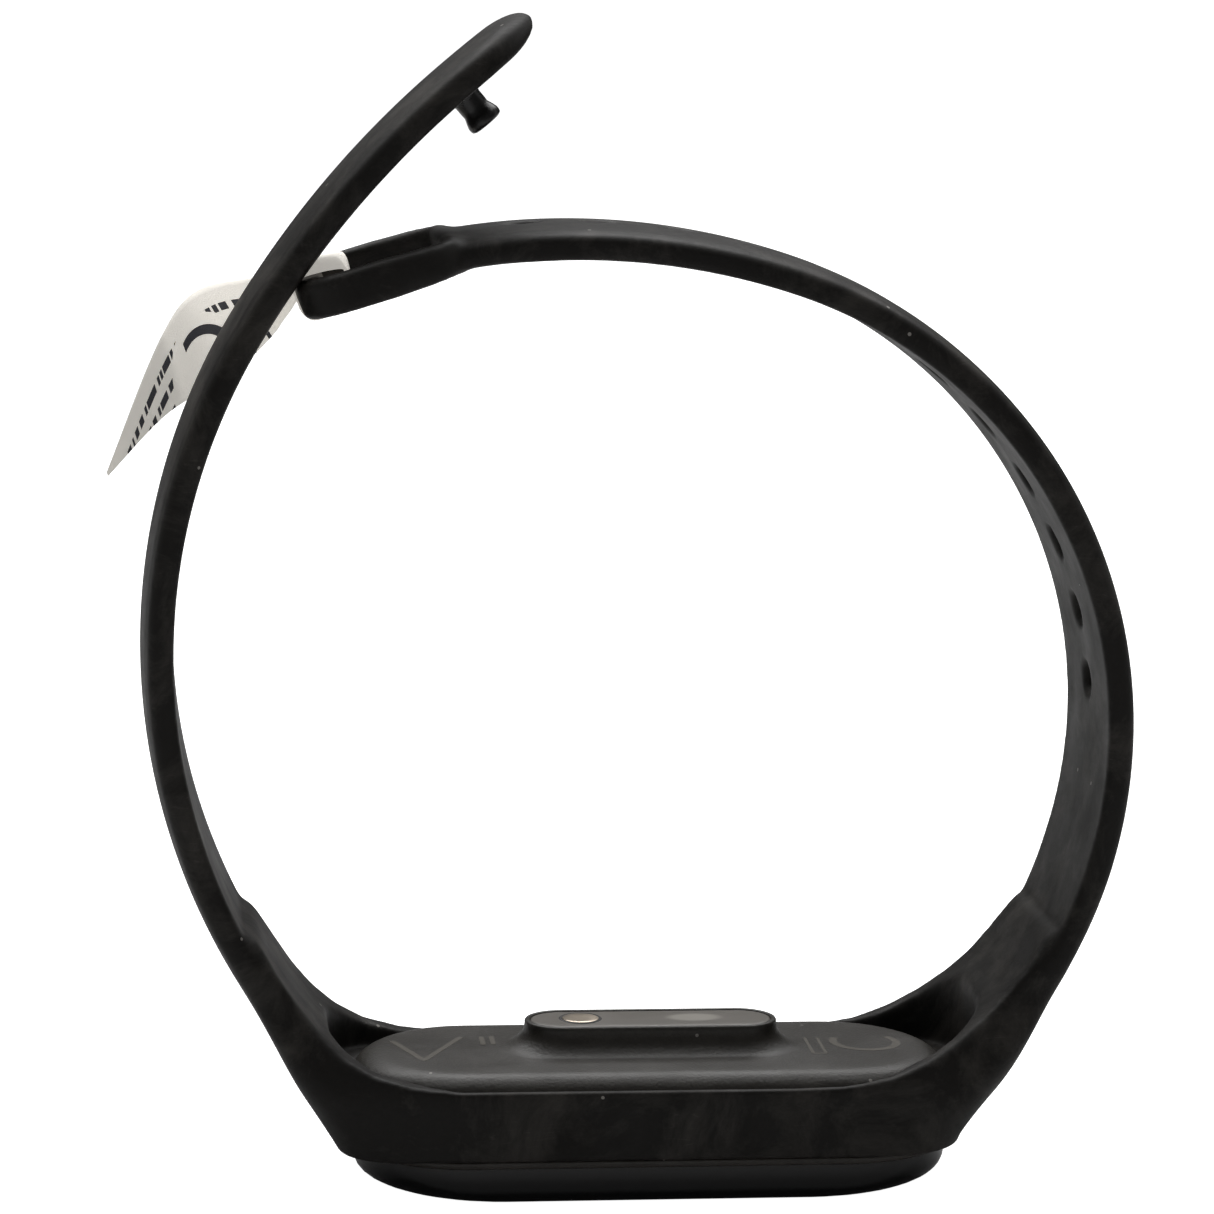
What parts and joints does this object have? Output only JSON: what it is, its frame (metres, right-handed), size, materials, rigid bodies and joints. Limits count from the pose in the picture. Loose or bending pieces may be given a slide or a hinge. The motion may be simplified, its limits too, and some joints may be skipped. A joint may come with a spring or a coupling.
{
  "type": "fitness tracker band",
  "caption": "Slim capsule fitness tracker in a one-piece moulded strap with a retaining loop, a row of holes and a snap stud.",
  "frame": {"origin": "centre of the flat outer face of the display glass, on which the part stands", "axes": "+X along the capsule towards the loop arm, +Y across the strap, +Z through the capsule towards the wrist side"},
  "size_m": [0.0788, 0.0241, 0.091],
  "materials": {
    "cover_glass": "polished",
    "panel_laminate": "gloss",
    "tray_steel": "satin",
    "flex_print": "satin",
    "housing_plastic": "fine texture",
    "adhesive": "matt",
    "lens_plastic": "gloss",
    "contact_metal": "polished",
    "seal_rubber": "matt",
    "board_laminate": "satin",
    "led_resin": "gloss",
    "chip_resin": "matt",
    "shield_tin": "satin",
    "magnet_nickel": "polished",
    "cell_foil": "satin",
    "foam": "matt",
    "motor_steel": "satin",
    "strap_elastomer": "silky matt",
    "stud_plastic": "satin",
    "label_paper": "coated"
  },
  "bodies": {
    "tracker": {"display_glass": "cover_glass", "front_frame": "housing_plastic", "back_shell": "housing_plastic", "sensor_lens": "lens_plastic", "touch_panel": "panel_laminate", "display_tray": "tray_steel", "display_ribbon": "flex_print", "frame_seal": "adhesive", "wear_contact": "contact_metal", "contact_seal": "seal_rubber", "sensor_board": "board_laminate", "green_led_inner": "led_resin", "green_led_outer": "led_resin", "photodiode": "chip_resin", "light_shroud": "housing_plastic", "sensor_ribbon": "flex_print", "charge_pad_left": "contact_metal", "charge_pad_right": "contact_metal", "charge_ribbon": "flex_print", "charge_magnet_left": "magnet_nickel", "charge_magnet_right": "magnet_nickel", "main_board": "board_laminate", "processor_chip": "chip_resin", "radio_shield": "shield_tin", "radio_chip": "chip_resin", "motion_sensor": "chip_resin", "battery_cell": "cell_foil", "battery_foam": "foam", "battery_tab": "shield_tin", "antenna_strip": "flex_print", "motor_pad": "foam", "motor_base": "motor_steel", "motor_can": "motor_steel"},
    "motor_rotor": {"motor_weight": "motor_steel"},
    "cradle": {"strap_cradle": "strap_elastomer"},
    "tail_lower": {"tail_strap_lower": "strap_elastomer"},
    "tail_upper": {"tail_strap_upper": "strap_elastomer"},
    "tail_end": {"tail_strap_tip": "strap_elastomer", "fastening_stud": "stud_plastic"},
    "loop_lower": {"loop_strap_lower": "strap_elastomer"},
    "loop_upper": {"loop_strap_upper": "strap_elastomer"},
    "loop_end": {"strap_loop": "strap_elastomer", "packing_label": "label_paper"}
  },
  "joints": [
    {"name": "strap_push_off", "type": "slide", "parent": "tracker", "child": "cradle", "axis": [0, 0, 1], "range_m": [0, 0.0095]},
    {"name": "tail_root_bend", "type": "hinge", "parent": "cradle", "child": "tail_lower", "pos_m": [-0.03334, 0, 0.0211], "axis": [0, -1, 0], "range_deg": [0, 28], "stiffness_Nm_per_rad": 0.03},
    {"name": "tail_mid_bend", "type": "hinge", "parent": "tail_lower", "child": "tail_upper", "pos_m": [-0.03772, 0, 0.04931], "axis": [0, -1, 0], "range_deg": [0, 28], "stiffness_Nm_per_rad": 0.03},
    {"name": "tail_tip_bend", "type": "hinge", "parent": "tail_upper", "child": "tail_end", "pos_m": [-0.02547, 0, 0.07521], "axis": [0, -1, 0], "range_deg": [-12, 30], "stiffness_Nm_per_rad": 0.02},
    {"name": "loop_root_bend", "type": "hinge", "parent": "cradle", "child": "loop_lower", "pos_m": [0.03298, 0, 0.02307], "axis": [0, 1, 0], "range_deg": [0, 28], "stiffness_Nm_per_rad": 0.03},
    {"name": "loop_mid_bend", "type": "hinge", "parent": "loop_lower", "child": "loop_upper", "pos_m": [0.01947, 0, 0.06566], "axis": [0, 1, 0], "range_deg": [0, 28], "stiffness_Nm_per_rad": 0.03},
    {"name": "loop_end_bend", "type": "hinge", "parent": "loop_upper", "child": "loop_end", "pos_m": [-0.01442, 0, 0.07255], "axis": [0, -1, 0], "range_deg": [0, 20], "stiffness_Nm_per_rad": 0.02},
    {"name": "motor_spin", "type": "hinge", "parent": "tracker", "child": "motor_rotor", "pos_m": [-0.016, 0, 0.0061], "axis": [0, 0, 1], "continuous": true}
  ],
  "couplings": [
    {"joint": "tail_mid_bend", "follows": "tail_root_bend", "ratio": 1},
    {"joint": "loop_root_bend", "follows": "tail_root_bend", "ratio": 1},
    {"joint": "loop_mid_bend", "follows": "tail_root_bend", "ratio": 1}
  ]
}
